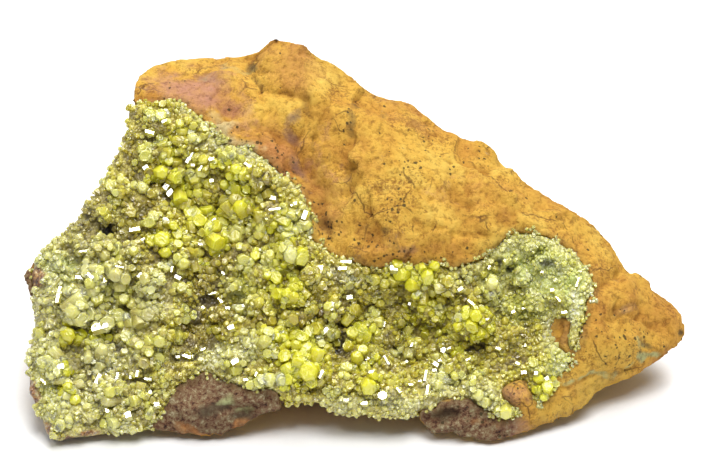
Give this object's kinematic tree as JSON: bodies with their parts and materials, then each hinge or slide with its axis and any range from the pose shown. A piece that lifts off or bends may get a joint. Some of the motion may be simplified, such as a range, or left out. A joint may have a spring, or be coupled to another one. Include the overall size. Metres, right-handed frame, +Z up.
{
  "type": "pyromorphite crystal cluster",
  "caption": "Broken ochre limonite rock lying on its back edge, with a crust of stubby six-sided yellow-green pyromorphite crystals over its lower front face.",
  "frame": {"origin": "middle of the bounding box's bottom, on the surface that the stone rests on", "axes": "+X along the stone towards its pointed end, +Y away from the crystal face towards the back, +Z up"},
  "size_m": [0.1124, 0.0604, 0.0492],
  "materials": {
    "limonite_matrix": "earthy, rough broken rock",
    "pyromorphite_crust": "waxy, translucent crystal faces"
  },
  "bodies": {
    "root": {"limonite_matrix": "limonite_matrix", "pyromorphite_crust": "pyromorphite_crust"}
  },
  "joints": []
}
